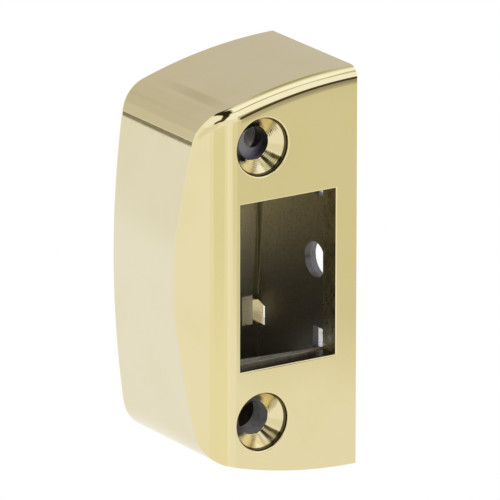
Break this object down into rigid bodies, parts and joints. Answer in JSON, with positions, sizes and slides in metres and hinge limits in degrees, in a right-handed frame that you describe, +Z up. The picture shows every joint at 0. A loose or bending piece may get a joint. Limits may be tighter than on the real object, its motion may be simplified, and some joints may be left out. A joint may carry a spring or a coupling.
{
  "type": "door strike plate",
  "caption": "Surface-mounted box strike for a rim latch, with an arched outline, an open latch mouth, countersunk screw holes and a pierced stop-side panel.",
  "frame": {"origin": "on the rear face that lies on the door frame, midway between the two screw axes", "axes": "+Y the way the screws leave into the door frame, +X towards the stop side, +Z up along the strike"},
  "size_m": [0.0314, 0.0267, 0.0689],
  "materials": {
    "plated_casting": "polished"
  },
  "bodies": {
    "root": {"strike_plate": "plated_casting"}
  },
  "joints": []
}
